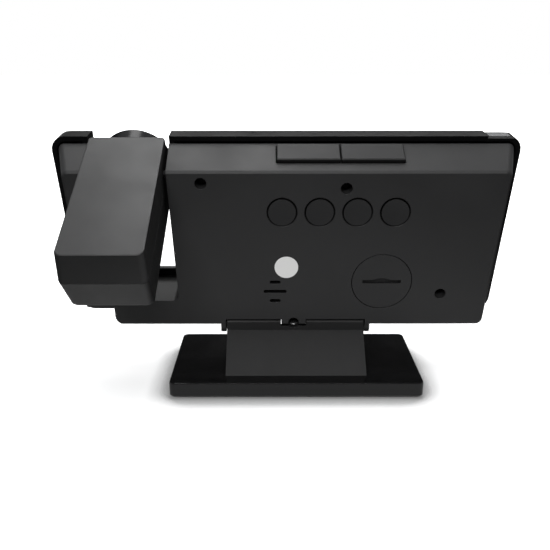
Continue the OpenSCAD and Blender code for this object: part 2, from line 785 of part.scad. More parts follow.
module front_bezel() {
  r = bezel_corner - bezel_wall;
  color(gloss_black) difference() {
    union() {
      difference() {
        bezel_form();
        // Hollow behind the front wall, except around the bay
        difference() {
          slab(rear_depth - 1, window_n - rear_depth + 1)
            polygon(rounded(case_points(bezel_wall - rim_bottom, rear_h + rim - bezel_wall, bezel_wall),
                            [r, r, r, r]));
          slab(0, far) bay_shape(bezel_wall, bay_floor);
        }
      }
      for (p = screw_places) intersection() {
        bezel_form();
        peg(p[0], p[1], rear_depth, post_d, window_n - rear_depth + 0.5);
      }
      for (p = board_screws_at)
        peg(p[0], p[1], board_n + board_t, board_post_d, window_n - board_n - board_t + 0.5);
    }
    // Bay: a floor that runs on from the housing's, and a lip that stops the folded arm
    slab(rear_depth - 1, lip_n - rear_depth + 1) bay_shape(0, bay_floor);
    slab(rear_depth - 1, far) bay_shape(0, bay_floor + bay_lip_h);
    // Seat of the mirror lens and the window behind it
    slab(ledge_n, far) lens_shape(0);
    slab(window_n - 1, far) translate(digit_centre)
      polygon(rounded(box_points(-panel_w / 2, -panel_h / 2, panel_w / 2, panel_h / 2), [2, 2, 2, 2]));
    // Notch for the sensor's window
    block(-sensor_x1(), -sensor_x0(), rear_depth - 1, front_n + 1, rear_h + rim - 1, far * 2);
    block(-sensor_x1() + 1, -sensor_x0() - 1, sensor_n0, sensor_n1, rear_h - 1, far * 2);
    // Screw holes
    for (p = screw_places) peg(p[0], p[1], rear_depth - 1, screw_d, 1 + window_n - rear_depth - 0.6);
    for (p = board_screws_at) peg(p[0], p[1], board_n, board_screw_d, window_n - board_n - 0.4);
  }
}

sensor_n0 = rear_depth + 2.4;
sensor_n1 = front_n - 3;
function sensor_x1() = 90.7;
function sensor_x0() = sensor_x1() - sensor_w;

module sensor_window() {
  color(clear_grey) block(-sensor_x1() + 1 + 0.1, -sensor_x0() - 1 - 0.1, sensor_n0 + 0.1, sensor_n1 - 0.1,
    rear_h + rim - 2.6, rear_h + rim - 0.6);
}

module display_lens() { color(mirror_grey) slab(ledge_n, lens_t) lens_shape(0.15); }

// One segment bar with pointed ends, centred on the origin
module segment(l) {
  w = digit_stroke / 2;
  polygon([[-l / 2, 0], [-l / 2 + w, w], [l / 2 - w, w], [l / 2, 0], [l / 2 - w, -w], [-l / 2 + w, -w]]);
}

module digit_windows() {
  across = digit_w - digit_stroke;
  up = (digit_h - digit_stroke) / 2;
  for (k = [-1, 0, 1]) translate([0, k * up]) segment(across - 0.8);
  for (sx = [-1, 1], sz = [-1, 1])
    translate([sx * across / 2, sz * up / 2]) rotate([0, 0, 90]) segment(up - 0.8);
}

module digit_panel() {
  x0 = colon_w / 2 + digit_w / 2;
  places = [-x0 - digit_w - digit_gap, -x0, x0, x0 + digit_w + digit_gap];
  g = panel_gap;
  color(white_plastic) difference() {
    slab(board_n + board_t, window_n + window_t - 0.3 - board_n - board_t) translate(digit_centre)
      polygon(rounded(box_points(g - panel_w / 2, g - panel_h / 2, panel_w / 2 - g, panel_h / 2 - g),
                      [1.6, 1.6, 1.6, 1.6]));
    slab(board_n + board_t + 0.8, far) translate(digit_centre) {
      for (x = places) translate([x, 0]) digit_windows();
      for (s = [-1, 1]) translate([0, s * digit_h / 6]) circle(d = digit_stroke);
    }
  }
}

module main_board() {
  color(board_green) difference() {
    union() {
      slab(board_n, board_t)
        polygon(rounded(box_points(board_x0, board_z0, board_x1, board_z1), [2, 2, 2, 2]));
      // Controller, clock crystal and driver on the rear side
      for (c = chips) block(c[0], c[0] + c[2], board_n - chip_t, board_n, c[1], c[1] + c[3]);
    }
    for (p = screw_places) peg(p[0], p[1], board_n - 1, post_d + 2 * part_gap, board_t + 2);
    for (p = board_screws_at) peg(p[0], p[1], board_n - 1, board_screw_d + 0.4, board_t + 2);
  }
}

module board_screws() {
  color(steel) for (p = board_screws_at)
    pan_screw(p[0], p[1], board_n - 1.2, 3.4, 1.2, board_screw_d, board_t + 3.4);
}

// ---------------------------------------------------------------- keys, boards, speaker, battery

module round_key(x) {
  color(key_black) difference() {
    union() {
      peg(x, key_z, -key_proud, key_d, key_proud + rear_wall + 0.6);
      peg(x, key_z, rear_wall + 0.3, key_d + 2 * key_flange, key_flange_t);
      peg(x, key_z, rear_wall, 2 * stem_r, stem_end - rear_wall);
    }
    // Shallow dish in the cap
    translate([x, key_proud + 31.45, key_z]) sphere(r = 32);
  }
}

module mode_key() { round_key(first_key_x); }
module up_key() { round_key(first_key_x - key_pitch); }
module down_key() { round_key(first_key_x - 2 * key_pitch); }
module alarm_key() { round_key(first_key_x - 3 * key_pitch); }

// Long key on the band, from x0 to x1
module long_key(x0, x1) {
  mid = top_key_y0 + top_key_d / 2;
  color(key_black) on_band() {
    hull() {
      translate([x0, top_key_y0, top_flange_z]) cube([x1 - x0, top_key_d, top_key_h - 0.4 - top_flange_z]);
      translate([x0 + 0.4, top_key_y0 + 0.4, 0]) cube([x1 - x0 - 0.8, top_key_d - 0.8, top_key_h]);
    }
    translate([x0 + 0.6, top_key_y0 - 1, top_flange_z - 1]) cube([x1 - x0 - 1.2, top_key_d + 2, 1]);
    translate([(x0 + x1) / 2, mid, top_stem_end]) cylinder(r = stem_r, h = -top_stem_end);
  }
}

module projection_key() { long_key(top_key_x1 - projection_key_w, top_key_x1); }

module snooze_key() { long_key(snooze_x1 - snooze_key_w, snooze_x1); }

// Tact switch whose plunger points back towards its key, on a board at depth n
module tact_switch(x, z, n) {
  block(x - 3, x + 3, n - switch_body, n, z - 3, z + 3);
  peg(x, z, n - switch_body - 0.5, 2 * plunger_r, 0.6);
}

module key_board() {
  color(board_green) difference() {
    slab(key_board_n, key_board_t)
      polygon(rounded(box_points(first_key_x - 3 * key_pitch - key_board_side, key_z - key_board_low,
                                 first_key_x + key_board_side, key_z + key_board_high),
                      [1.5, 1.5, 1.5, 1.5]));
    for (p = screw_places) peg(p[0], p[1], key_board_n - 1, boss_d + 2 * part_gap, key_board_t + 2);
  }
}

module key_switches() {
  color(steel) for (i = [0:3]) tact_switch(first_key_x - i * key_pitch, key_z, key_board_n);
}

module top_key_board() {
  color(board_green) on_band() for (k = top_switches)
    translate([k[0] + k[1] * top_board_off - top_board_w / 2, top_board_y0, top_board_z - key_board_t])
      cube([top_board_w, top_board_y1 - top_board_y0, key_board_t]);
}

module top_key_switches() {
  mid = top_key_y0 + top_key_d / 2;
  color(steel) on_band() for (k = top_switches) {
    translate([k[0] - 3, mid - 3, top_board_z]) cube([6, 6, switch_body]);
    translate([k[0], mid, top_board_z + switch_body - 0.1]) cylinder(r = plunger_r, h = 0.6);
  }
}

module speaker() {
  color([0.2, 0.2, 0.21]) difference() {
    union() {
      peg(speaker_x, speaker_z, rear_wall, speaker_d - 0.2, 1.6);
      peg(speaker_x, speaker_z, rear_wall + 1.4, speaker_d - 3, speaker_t - 1.4);
    }
    peg(speaker_x, speaker_z, rear_wall - 1, speaker_d - 5, 1.6);
  }
}

module battery_contacts() {
  color(steel) {
    // Plate with a dimple under the cell
    block(cell_x - 6, cell_x + 6, cup_depth - contact_t, cup_depth, cell_z - 1.6, cell_z + 1.6);
    peg(cell_x, cell_z, cell_n1 + leaf_gap, 3, cup_depth - cell_n1 - leaf_gap);
    // Angled clip beside the cell
    block(cell_x - 1.5, cell_x + 1.5, cup_depth - contact_t, cup_depth, cell_z + 6, cell_z + clip_r);
    block(cell_x - 1.5, cell_x + 1.5, cell_n0 + 0.6, cup_depth, cell_z + clip_r - contact_t,
          cell_z + clip_r);
  }
}

module power_jack() {
  color([0.12, 0.12, 0.12]) difference() {
    block(jack_x - jack_w / 2 + 0.1, jack_x + jack_w / 2 - 0.1, jack_n - 3.5, jack_n + 3.5,
          rear_wall, rear_wall + jack_l);
    difference() {
      translate([jack_x, -jack_n, rear_wall - 1]) cylinder(d = jack_d, h = jack_l - 1);
      translate([jack_x, -jack_n, rear_wall]) cylinder(d = 1.2, h = jack_l);
    }
  }
}

module coin_cell() {
  color(steel) union() {
    peg(cell_x, cell_z, cell_n0, cell_d - 1.6, cell_t);
    peg(cell_x, cell_z, cell_n0 + 0.6, cell_d, cell_t - 0.6);
  }
}

module battery_cover() {
  color(matte_black) difference() {
    union() {
      peg(cell_x, cell_z, 0, cover_d, cover_t);
      // Bayonet lugs under the edge
      translate([cell_x, 0, cell_z]) rotate([90, 0, 0]) intersection() {
        tube(lug_groove_r0 + 0.3, lug_groove_r1 - 0.3, cover_t - eps, ledge_depth + lug_h - 0.1);
        for (a = [90, 210, 330]) rotate([0, 0, a]) translate([0, -3, 0]) cube([far, 6, far]);
      }
    }
    // Coin slot with a deeper middle
    block(cell_x - coin_slot_l / 2, cell_x + coin_slot_l / 2, -1, coin_slot_depth,
          cell_z - coin_slot_w / 2, cell_z + coin_slot_w / 2);
    intersection() {
      translate([cell_x, 1, cell_z - 7.3]) rotate([90, 0, 0]) cylinder(r = 9, h = 1 + coin_slot_depth);
      block(cell_x - 6, cell_x + 6, -1, coin_slot_depth, cell_z, cell_z + 4);
    }
  }
}

// ---------------------------------------------------------------- projector arm

// Slice of the arm's outline at depth n: side and tip are drawn in separately
module arm_slice(n, side, tip, grow, r) {
  w = arm_w / 2 - side - grow;
  slab(n, eps) polygon(rounded(box_points(bay_x - w, arm_z0 + tip + grow, bay_x + w, arm_z1 - grow),
                               [r, r, arm_end_corner, arm_end_corner]));
}

module arm_back_form() {
  s = arm_tip_slant;
  hull() {
    arm_slice(arm_n0, edge, s + edge, 0, arm_corner - edge);
    arm_slice(arm_n0 + edge * 0.3, edge * 0.3, s + edge * 0.3, 0, arm_corner);
    arm_slice(arm_n0 + edge, 0, s * (1 - edge / arm_back_t), 0, arm_corner);
    arm_slice(seam_n - seam_gap / 2 - eps, -arm_flare, 0, 0, arm_corner);
  }
}

module arm_front_form() {
  t = arm_front_taper;
  hull() {
    arm_slice(seam_n + seam_gap / 2, -arm_flare, 0, 0, arm_corner);
    arm_slice(arm_n1 - edge * 1.4, t - 0.4, arm_tip_taper, 0, arm_corner);
    arm_slice(arm_n1 - edge * 0.4, t, arm_tip_taper + 0.3, 0, arm_corner);
    arm_slice(arm_n1 - eps, t + edge, arm_tip_taper + edge, 0, arm_corner - edge);
  }
}

module arm_boss_pair() {
  for (x = [bay_x - arm_w / 2 + 0.4, bay_x + arm_w / 2 - 0.4 - pin_in + 0.4])
    translate([x, -pivot_n, pivot_z]) rotate([0, 90, 0]) cylinder(d = arm_boss_d, h = pin_in - 0.4);
}

module arm_back_shell() {
  color(matte_black) on_arm() difference() {
    union() {
      difference() {
        arm_back_form();
        hull() {
          arm_slice(arm_n0 + arm_wall, 0, arm_tip_slant, arm_wall, inner_corner);
          arm_slice(seam_n + 1, -arm_flare, 0, arm_wall, inner_corner);
        }
      }
      arm_boss_pair();
      for (p = arm_screw_places)
        peg(p[0], p[1], arm_n0 + arm_wall - eps, 5, seam_n - arm_n0 - arm_wall - seam_gap / 2);
    }
    // Pivot bores, a press fit on the pins
    translate([0, -pivot_n, pivot_z]) rotate([0, 90, 0]) cylinder(d = pivot_d, h = far * 3);
    on_barrel_line() cylinder(r = barrel_r, h = far);
    for (p = arm_screw_places) peg(p[0], p[1], seam_n - arm_screw_grip - 2, arm_screw_d, arm_screw_grip + 3);
  }
}

// Line of the lens axis at the arm's lens end, in the folded pose
module on_barrel_line() { translate([optic_x, -optic_n, arm_z1 - 10]) children(); }

module arm_front_shell() {
  color(matte_black) on_arm() difference() {
    union() {
      difference() {
        arm_front_form();
        hull() {
          arm_slice(seam_n - 1, -arm_flare, 0, arm_wall, inner_corner);
          arm_slice(arm_n1 - arm_wall, arm_front_taper, arm_tip_taper, arm_wall, inner_corner);
        }
      }
      for (p = arm_screw_places)
        peg(p[0], p[1], seam_n + seam_gap / 2, 6.4, arm_n1 - seam_n - 1);
    }
    on_barrel_line() cylinder(r = barrel_r, h = far);
    // Screw wells
    for (p = arm_screw_places) {
      peg(p[0], p[1], seam_n - 1, arm_screw_d + 0.4, far);
      peg(p[0], p[1], seam_n + arm_screw_seat, 2 * arm_screw_d + 0.4, far);
    }
  }
}

module arm_screws() {
  color(steel) on_arm() for (p = arm_screw_places) {
    peg(p[0], p[1], seam_n + arm_screw_seat, 2 * arm_screw_d, 1.6);
    peg(p[0], p[1], seam_n - arm_screw_grip, arm_screw_d, arm_screw_grip + arm_screw_seat + 0.5);
  }
}

module pivot_pins() {
  color(steel) on_arm()
    for (x = [bay_x - arm_w / 2 + pin_in - 0.4 - pin_out - pin_in, bay_x + arm_w / 2 - pin_in + 0.4])
      translate([x, -pivot_n, pivot_z]) rotate([0, 90, 0]) cylinder(d = pivot_d, h = pin_out + pin_in);
}

module lens_barrel() {
  color(key_black) on_lens_axis() difference() {
    union() {
      tube(cell_bore_r, barrel_r, barrel_low, arm_z1 + nose_h);
      // Steps that seat the image slide and the condenser
      tube(5.4, barrel_r - eps, barrel_low + 13, barrel_low + 14.4);
      tube(5.4, barrel_r - eps, barrel_low + 6.4, barrel_low + 7.8);
      translate([-barrel_r - 2, -barrel_r, barrel_low]) difference() {
        cube([2 * barrel_r + 4, 2 * barrel_r, 1.4]);
        translate([barrel_r + 2, barrel_r, -1]) cylinder(r = cell_bore_r, h = 4);
      }
    }
  }
}

module projector_board() {
  color(board_green) on_arm()
    block(bay_x - projector_board_w / 2, bay_x + projector_board_w / 2,
          arm_n0 + arm_wall + 0.6, arm_n1 - arm_wall - 1.2, barrel_low - board_t, barrel_low);
}

module projector_lamp() {
  color(white_plastic) on_lens_axis() {
    translate([0, 0, barrel_low]) cylinder(r = 2.9, h = 1);
    translate([0, 0, barrel_low]) cylinder(r = 2.5, h = lamp_h - 2.5);
    translate([0, 0, barrel_low + lamp_h - 2.5]) sphere(r = 2.5);
  }
}

// Plano-convex lens of radius r, edge t, bulging upwards by crown
module lens_form(r, t, crown) {
  bulge = (r * r + crown * crown) / (2 * crown);
  intersection() {
    cylinder(r = r, h = t + crown);
    translate([0, 0, t + crown - bulge]) sphere(r = bulge);
  }
}

module condenser_lens() {
  color(glass_blue) on_lens_axis() translate([0, 0, barrel_low + 7.8]) lens_form(cell_bore_r, 1.2, 2);
}

module image_slide() {
  color(film_blue) on_lens_axis() translate([0, 0, barrel_low + 14.4]) cylinder(r = cell_bore_r, h = 1);
}

module focus_ring() {
  z0 = arm_z1 + part_gap;
  z1 = arm_z1 + ring_h;
  r = ring_d / 2;
  soft = 1.4;
  color(gloss_black) on_lens_axis() difference() {
    rotate_extrude($fn = 96) difference() {
      union() {
        translate([ring_bore, z0]) square([r - ring_bore, z1 - z0 - soft]);
        translate([ring_bore, z0]) square([r - soft - ring_bore, z1 - z0]);
        translate([r - soft, z1 - soft]) circle(r = soft, $fn = 32);
      }
      // Cone that opens the ring's mouth
      polygon([[ring_bore - 1, z1 - 1.6], [ring_bore + 0.6, z1 - 1.6], [ring_bore + 3, z1 + eps],
               [ring_bore - 1, z1 + eps]]);
    }
  }
}

module lens_cell() {
  color(matte_black) on_lens_axis() difference() {
    tube(glass_r - 1.1, cell_bore_r - cell_run, cell_top - cell_len, cell_top);
    tube(0, glass_r, cell_top - 4.4, cell_top + 1);
  }
}

module projection_lens() {
  color(glass_blue) on_lens_axis() translate([0, 0, cell_top - 4.4]) lens_form(glass_r, 1.6, 1.8);
}

// ---------------------------------------------------------------- build

base_plate();
base_pad();
stand_neck();
neck_screws();
on_case() rear_housing();
on_case() front_bezel();
on_case() display_lens();
on_case() digit_panel();
on_case() main_board();
on_case() board_screws();
on_case() sensor_window();
on_case() rear_screws();
on_case() hinge_pins();
on_case() key_board();
on_case() key_switches();
on_case() top_key_board();
on_case() top_key_switches();
on_case() speaker();
on_case() battery_contacts();
on_case() power_jack();
on_case() mode_key();
on_case() up_key();
on_case() down_key();
on_case() alarm_key();
on_case() projection_key();
on_case() snooze_key();
on_case() coin_cell();
on_case() battery_cover();
arm_back_shell();
arm_front_shell();
arm_screws();
pivot_pins();
lens_barrel();
projector_board();
projector_lamp();
condenser_lens();
image_slide();
focus_ring();
lens_cell();
projection_lens();
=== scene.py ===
"""Looks of a projection alarm clock: finishes, smoothed shells, the round label, the studio and the camera.

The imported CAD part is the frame. Lengths are in metres, in the part's own frame.
"""

from __future__ import annotations

import json
import logging
import math
from dataclasses import dataclass
from enum import Enum

import bmesh
import bpy
from mathutils import Matrix, Vector


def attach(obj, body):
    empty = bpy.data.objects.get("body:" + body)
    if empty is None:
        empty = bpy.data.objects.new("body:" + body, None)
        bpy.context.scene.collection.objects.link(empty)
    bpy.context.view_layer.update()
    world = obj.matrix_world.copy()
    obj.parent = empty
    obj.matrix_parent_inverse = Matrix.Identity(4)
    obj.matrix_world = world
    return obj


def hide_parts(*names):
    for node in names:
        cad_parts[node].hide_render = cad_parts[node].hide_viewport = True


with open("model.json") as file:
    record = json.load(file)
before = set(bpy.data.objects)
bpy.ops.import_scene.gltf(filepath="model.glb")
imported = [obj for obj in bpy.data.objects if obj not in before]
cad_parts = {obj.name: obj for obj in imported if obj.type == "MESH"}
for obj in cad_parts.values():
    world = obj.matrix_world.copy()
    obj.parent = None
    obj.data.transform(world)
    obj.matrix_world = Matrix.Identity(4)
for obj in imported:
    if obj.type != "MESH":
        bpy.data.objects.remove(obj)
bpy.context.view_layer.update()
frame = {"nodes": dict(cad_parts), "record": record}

LOG = logging.getLogger("clock")

MM = 0.001
# How far the case leans back.
CASE_LEAN = math.radians(8.4)
# The hinge axis in the part's frame, and then on the case, forward from its back face and up from its bottom edge.
HINGE_Y = -0.54 * MM
HINGE_Z = 23.9 * MM
HINGE_DEPTH = 4 * MM
HINGE_HEIGHT = -1.5 * MM
# Vertices nearer than this are one.
WELD = 1e-7
# Faces that differ by less than this are one flat face.
FLAT = math.radians(0.5)
# Painted shade: the colour that narrow recesses are darkened towards, as in a recess that light hardly reaches.
PAINTED_SHADE_BLACK = (0.0005, 0.0005, 0.0005)

Color = tuple[float, float, float]


class Slot(Enum):
    """Material slots of the record."""

    GLOSS_BLACK = "gloss_black"
    MATTE_BLACK = "matte_black"
    KEY_BLACK = "key_black"
    RUBBER = "rubber"
    MIRROR = "mirror_lens"
    WHITE = "white_plastic"
    BOARD = "circuit_board"
    WINDOW = "grey_window"
    STEEL = "steel"
    GLASS = "lens_glass"
    FILM = "slide_film"


class Mask(Enum):
    """Outputs of the shared surface group."""

    GRAIN = "Grain"
    MOTTLE = "Mottle"
    DUST_AND_TOP_LIGHT = "Dust"
    SCRATCH = "Scratch"
    PAINTED_RECESS_SHADE = "Crevice"


def case_point(x: float, depth: float, height: float) -> Vector:
    """Place on the leaning case.

    Args:
        x: Distance towards the arm.
        depth: Distance forward from the case's back face.
        height: Distance up the back face from its bottom edge.

    Returns:
        The point in the part's frame.
    """
    y = HINGE_DEPTH - depth
    z = height - HINGE_HEIGHT
    cos, sin = math.cos(CASE_LEAN), math.sin(CASE_LEAN)
    return Vector((x, HINGE_Y + y * cos + z * sin, HINGE_Z - y * sin + z * cos))


@dataclass(frozen=True)
class Graph:
    """Shorthand for building a node tree."""

    tree: bpy.types.NodeTree

    def node(self, kind: str, **settings: object) -> bpy.types.Node:
        """Adds a node.

        Args:
            kind: Blender's name of the node type.
            settings: Attributes that are set on the node.

        Returns:
            The new node.
        """
        made = self.tree.nodes.new(kind)
        for name, value in settings.items():
            setattr(made, name, value)
        return made

    def link(self, source: bpy.types.NodeSocket, target: bpy.types.NodeSocket) -> None:
        """Joins two sockets."""
        self.tree.links.new(source, target)

    def feed(self, value: bpy.types.NodeSocket | float | Color, target: bpy.types.NodeSocket) -> None:
        """Links a socket to an input, or sets the input to a number or a colour."""
        if isinstance(value, bpy.types.NodeSocket):
            self.link(value, target)
        elif isinstance(value, tuple):
            target.default_value = (*value, 1.0)
        else:
            target.default_value = value

    def noise(self, vector: bpy.types.NodeSocket, scale: bpy.types.NodeSocket | float, detail: float,
              roughness: float = 0.5) -> bpy.types.NodeSocket:
        """Adds a noise texture.

        Args:
            vector: Socket with the coordinates.
            scale: Features per metre, as a socket or a number.
            detail: Octaves.
            roughness: Weight of the finer octaves.

        Returns:
            The texture's value socket.
        """
        made = self.node("ShaderNodeTexNoise")
        for name, value in (("Vector", vector), ("Scale", scale), ("Detail", detail), ("Roughness", roughness)):
            self.feed(value, made.inputs[name])
        return made.outputs["Fac"]

    def span(self, value: bpy.types.NodeSocket, low: float, high: float, to_low: float,
             to_high: float) -> bpy.types.NodeSocket:
        """Maps a value from one range to another, clamped.

        Args:
            value: Socket with the value.
            low: Start of the range that comes in.
            high: End of the range that comes in.
            to_low: Start of the range that goes out.
            to_high: End of the range that goes out.

        Returns:
            The mapped value's socket.
        """
        made = self.node("ShaderNodeMapRange")
        for name, number in (("From Min", low), ("From Max", high), ("To Min", to_low), ("To Max", to_high)):
            made.inputs[name].default_value = number
        self.link(value, made.inputs["Value"])
        return made.outputs["Result"]

    def math(self, operation: str, first: bpy.types.NodeSocket,
             second: bpy.types.NodeSocket | float) -> bpy.types.NodeSocket:
        """Combines a value with another one.

        Args:
            operation: Blender's name of the operation.
            first: Socket of the first value.
            second: Socket or number of the second value.

        Returns:
            The result's socket.
        """
        made = self.node("ShaderNodeMath", operation=operation)
        self.link(first, made.inputs[0])
        self.feed(second, made.inputs[1])
        return made.outputs[0]

    def tint(self, mask: bpy.types.NodeSocket, base: bpy.types.NodeSocket | Color,
             other: Color) -> bpy.types.NodeSocket:
        """Mixes two colours by a mask.

        Args:
            mask: Socket of the mask.
            base: Colour where the mask is 0, or its socket.
            other: Colour where the mask is 1.

        Returns:
            The colour's socket.
        """
        made = self.node("ShaderNodeMix", data_type="RGBA")
        for name, value in (("A", base), ("B", other), ("Factor", mask)):
            self.feed(value, made.inputs[name])
        return made.outputs["Result"]


class SurfaceGroup:
    """Shader group with the masks that every finish draws on: grain, mottling, dust that doubles as painted light on
    tops, scratches and painted shade in recesses.
    """

    NAME = "surface_masks"

    def __init__(self) -> None:
        """Builds the group once."""
        self.tree = bpy.data.node_groups.new(self.NAME, "ShaderNodeTree")
        face = self.tree.interface
        for name, value in (("Grain Scale", 5200.0), ("Mottle Scale", 42.0), ("Scratch Scale", 900.0)):
            socket = face.new_socket(name=name, in_out="INPUT", socket_type="NodeSocketFloat")
            socket.default_value = value
        for mask in Mask:
            face.new_socket(name=mask.value, in_out="OUTPUT", socket_type="NodeSocketFloat")
        graph = Graph(self.tree)
        entry = graph.node("NodeGroupInput")
        leave = graph.node("NodeGroupOutput")
        place = graph.node("ShaderNodeTexCoord").outputs["Object"]
        grain = graph.noise(place, entry.outputs["Grain Scale"], 3.0)
        mottle = graph.noise(place, entry.outputs["Mottle Scale"], 4.0)
        graph.link(grain, leave.inputs[Mask.GRAIN.value])
        graph.link(graph.span(mottle, 0.34, 0.68, 0.0, 1.0), leave.inputs[Mask.MOTTLE.value])
        graph.link(self._dust(graph, place), leave.inputs[Mask.DUST_AND_TOP_LIGHT.value])
        graph.link(self._scratch(graph, place, entry.outputs["Scratch Scale"]), leave.inputs[Mask.SCRATCH.value])
        # Painted shade: occlusion within 3 mm darkens recesses.
        narrow = graph.node("ShaderNodeAmbientOcclusion", samples=6)
        narrow.inputs["Distance"].default_value = 3 * MM
        graph.link(graph.span(narrow.outputs["AO"], 0.45, 0.9, 1.0, 0.0), leave.inputs[Mask.PAINTED_RECESS_SHADE.value])

    @staticmethod
    def _dust(graph: Graph, place: bpy.types.NodeSocket) -> bpy.types.NodeSocket:
        """Fine dust: sparse specks on faces that look up. Where a finish turns it up, as on the front bezel, it is
        also painted light on the tops.

        Args:
            graph: The group's graph.
            place: Coordinates.

        Returns:
            The mask's socket.
        """
        specks = graph.node("ShaderNodeTexVoronoi")
        specks.inputs["Scale"].default_value = 620.0
        graph.link(place, specks.inputs["Vector"])
        dots = graph.span(specks.outputs["Distance"], 0.05, 0.16, 1.0, 0.0)
        veil = graph.span(graph.noise(place, 130.0, 5.0, 0.55), 0.3, 0.75, 0.12, 0.4)
        normal = graph.node("ShaderNodeNewGeometry").outputs["Normal"]
        parts = graph.node("ShaderNodeSeparateXYZ")
        graph.link(normal, parts.inputs[0])
        upward = graph.span(parts.outputs["Z"], 0.25, 0.95, 0.0, 1.0)
        return graph.math("MULTIPLY", graph.math("ADD", dots, veil), upward)

    @staticmethod
    def _scratch(graph: Graph, place: bpy.types.NodeSocket, scale: bpy.types.NodeSocket) -> bpy.types.NodeSocket:
        """Hairline scratches: thin level lines of a stretched noise.

        Args:
            graph: The group's graph.
            place: Coordinates.
            scale: Socket of the scale.

        Returns:
            The mask's socket.
        """
        stretch = graph.node("ShaderNodeMapping")
        stretch.inputs["Rotation"].default_value = (0.5, 0.4, 0.7)
        stretch.inputs["Scale"].default_value = (0.03, 1.0, 1.0)
        graph.link(place, stretch.inputs["Vector"])
        lines = graph.noise(stretch.outputs["Vector"], scale, 1.0)
        near = graph.math("ABSOLUTE", graph.math("SUBTRACT", lines, 0.5), 0.0)
        return graph.span(near, 0.0, 0.012, 1.0, 0.0)

    def add_to(self, graph: Graph, grain_scale: float, mottle_scale: float) -> bpy.types.Node:
        """Places the group in a material.

        Args:
            graph: The material's graph.
            grain_scale: Grain features per metre.
            mottle_scale: Mottling features per metre.

        Returns:
            The group's node.
        """
        made = graph.node("ShaderNodeGroup", node_tree=self.tree)
        made.inputs["Grain Scale"].default_value = grain_scale
        made.inputs["Mottle Scale"].default_value = mottle_scale
        return made


@dataclass(frozen=True)
class Finish:
    """One surface finish, built as a procedural material.

    Attributes:
        slot: Record slot that it dresses.
        color: Base colour, linear.
        dust_color: Colour of the dust that settles on it.
        dust: How strongly the dust shows. On the front bezel it is strong enough to be painted light on the rim's top
            as well.
        roughness: Lowest and highest roughness over the mottling.
        specular: Specular level.
        grain_scale: Grain features per metre.
        grain_depth: Height of the grain.
        mottle_scale: Mottling features per metre.
        edge: Radius that catches light on sharp edges.
        metallic: Metal share.
        coat: Clear coat weight.
        transmission: Transmitted share.
        ior: Index of refraction.
        scratch: How far a scratch raises the roughness.
        recess_shade_strength: How far narrow recesses are darkened, as painted shade.
        nodes: The slot's nodes that it is kept for. Without any it dresses all the others.
    """

    slot: Slot
    color: Color
    dust_color: Color = (0.25, 0.245, 0.235)
    dust: float = 0.03
    roughness: tuple[float, float] = (0.45, 0.55)
    specular: float = 0.5
    grain_scale: float = 5200.0
    grain_depth: float = 0.00001
    mottle_scale: float = 42.0
    edge: float = 0.00022
    metallic: float = 0.0
    coat: float = 0.0
    transmission: float = 0.0
    ior: float = 1.5
    scratch: float = 0.0
    recess_shade_strength: float = 0.85
    nodes: tuple[str, ...] = ()

    @property
    def key(self) -> str:
        """Name of the material: the slot, and the first node where it is kept for some."""
        return "_".join((self.slot.value, *self.nodes[:1]))

    def build(self, masks: SurfaceGroup) -> bpy.types.Material:
        """Builds the material.

        Args:
            masks: The shared group of masks.

        Returns:
            The new material.
        """
        material = bpy.data.materials.new(self.key)
        material.use_nodes = True
        graph = Graph(material.node_tree)
        shader = material.node_tree.nodes["Principled BSDF"]
        surface = masks.add_to(graph, self.grain_scale, self.mottle_scale)
        mottle = surface.outputs[Mask.MOTTLE.value]
        # Dust on faces that look up; on the front bezel it is also painted light on the rim's top.
        dust_and_top_light_share = graph.math("MULTIPLY", surface.outputs[Mask.DUST_AND_TOP_LIGHT.value], self.dust)
        dusted_and_top_lit = graph.tint(dust_and_top_light_share, self.color, self.dust_color)
        # Painted shade: recesses are darkened towards black in the base colour.
        recess_shade_share = graph.math("MULTIPLY", surface.outputs[Mask.PAINTED_RECESS_SHADE.value], self.recess_shade_strength)
        graph.link(graph.tint(recess_shade_share, dusted_and_top_lit, PAINTED_SHADE_BLACK), shader.inputs["Base Color"])
        rough = graph.span(mottle, 0.0, 1.0, *self.roughness)
        if self.scratch > 0:
            worn = graph.math("MULTIPLY", surface.outputs[Mask.SCRATCH.value], self.scratch)
            rough = graph.math("ADD", rough, worn)
        rough = graph.math("ADD", rough, graph.math("MULTIPLY", dust_and_top_light_share, 1.5))
        graph.link(rough, shader.inputs["Roughness"])
        bevel = graph.node("ShaderNodeBevel", samples=4)
        bevel.inputs["Radius"].default_value = self.edge
        bump = graph.node("ShaderNodeBump")
        bump.inputs["Distance"].default_value = self.grain_depth
        bump.inputs["Strength"].default_value = 1.0
        graph.link(surface.outputs[Mask.GRAIN.value], bump.inputs["Height"])
        graph.link(bevel.outputs["Normal"], bump.inputs["Normal"])
        graph.link(bump.outputs["Normal"], shader.inputs["Normal"])
        for name, value in (("Metallic", self.metallic), ("Specular IOR Level", self.specular),
                            ("Coat Weight", self.coat), ("Transmission Weight", self.transmission),
                            ("IOR", self.ior), ("Coat Roughness", 0.06)):
            shader.inputs[name].default_value = value
        LOG.info("finish %s", self.key)
        return material


